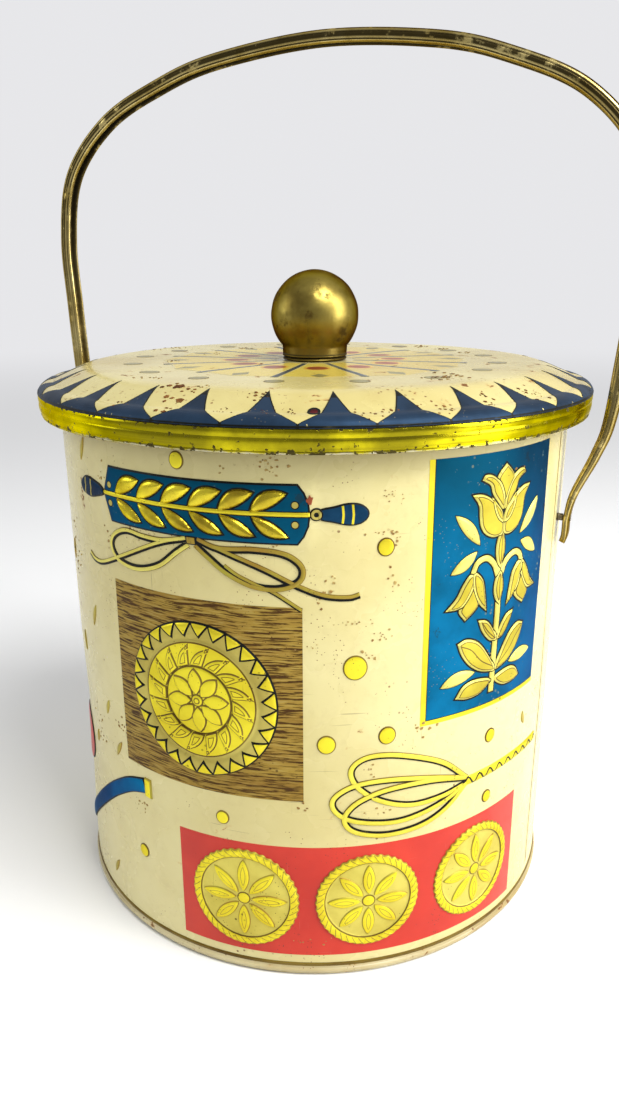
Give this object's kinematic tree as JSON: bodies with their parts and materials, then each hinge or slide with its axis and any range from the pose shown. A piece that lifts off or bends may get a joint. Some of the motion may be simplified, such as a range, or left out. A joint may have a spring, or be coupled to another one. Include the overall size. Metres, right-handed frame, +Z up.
{
  "type": "round tin with lid and swing handle",
  "caption": "Round lidded storage tin with a rolled rim, a ball knob on the lid and an arched swing handle riveted to the wall.",
  "frame": {"origin": "centre of the foot ring, on the surface that the tin stands on", "axes": "+Z up along the tin's axis; X along the handle's pivot axis; -Y and a little to +X is the decorated front"},
  "size_m": [0.2028, 0.1786, 0.2733],
  "materials": {
    "body_lacquer": "cream lacquer on tinplate with printed and embossed decoration, worn",
    "lid_lacquer": "cream lacquer with blue points and a gold rim band, worn",
    "tinplate": "plain tinplate, dull",
    "knob_brass": "aged polished brass with small dents",
    "handle_brass": "brass plated strip, dark tarnish in the folds",
    "steel": "dull steel"
  },
  "bodies": {
    "tin": {"body_shell": "body_lacquer", "base_plate": "tinplate", "rivet_left": "steel", "rivet_right": "steel", "rivet_washer_left": "steel", "rivet_washer_right": "steel"},
    "lid": {"lid_shell": "lid_lacquer", "lid_plug_ring": "tinplate", "knob_shell": "knob_brass", "knob_foot_ring": "knob_brass", "knob_bush": "steel", "knob_washer": "steel", "knob_screw": "steel"},
    "handle": {"handle_bail": "handle_brass"}
  },
  "joints": [
    {"name": "lid_lift", "type": "slide", "parent": "tin", "child": "lid", "axis": [0, 0, 1], "range_m": [0, 0.06]},
    {"name": "handle_swing", "type": "hinge", "parent": "tin", "child": "handle", "pos_m": [0, 0, 0.1303], "axis": [1, 0, 0], "range_deg": [-137.7, 142.3]}
  ]
}
